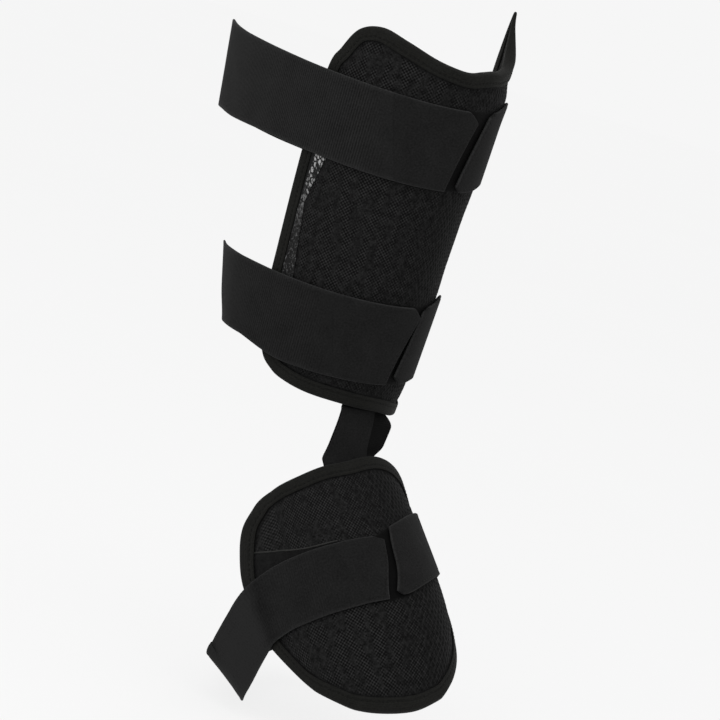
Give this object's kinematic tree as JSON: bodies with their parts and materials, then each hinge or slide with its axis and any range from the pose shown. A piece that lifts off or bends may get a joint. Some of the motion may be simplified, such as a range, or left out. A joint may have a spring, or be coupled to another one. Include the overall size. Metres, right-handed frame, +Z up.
{
  "type": "batter leg guard",
  "caption": "Padded shin shell and padded instep shell with taped edges, joined by an elastic link at the ankle and held on by three elastic loops with cloth tabs.",
  "frame": {"origin": "where the shin sits: the inner face of the shin shell, at the middle of its front and at half its height there", "axes": "+Z runs up the leg, +Y points from the pad back into the leg, and -X is the side whose edge reaches furthest round"},
  "size_m": [0.1436, 0.3372, 0.4923],
  "materials": {
    "spacer_mesh": "matt black padded mesh",
    "binding_tape": "matt black folded tape",
    "elastic_webbing": "matt black ribbed elastic",
    "tab_cloth": "smooth charcoal cloth",
    "printed_panel": "black cloth with small pale grey flecks"
  },
  "bodies": {
    "root": {"shin_shell": "spacer_mesh", "shin_edge_tape": "binding_tape", "side_panel": "printed_panel", "foot_shell": "spacer_mesh", "foot_edge_tape": "binding_tape", "ankle_link_strap": "elastic_webbing", "ankle_link_tab": "tab_cloth", "upper_strap_band": "elastic_webbing", "upper_strap_near_tab": "tab_cloth", "upper_strap_far_tab": "tab_cloth", "lower_strap_band": "elastic_webbing", "lower_strap_near_tab": "tab_cloth", "lower_strap_far_tab": "tab_cloth", "foot_strap_band": "elastic_webbing", "foot_strap_near_tab": "tab_cloth", "foot_strap_far_tab": "tab_cloth"}
  },
  "joints": []
}
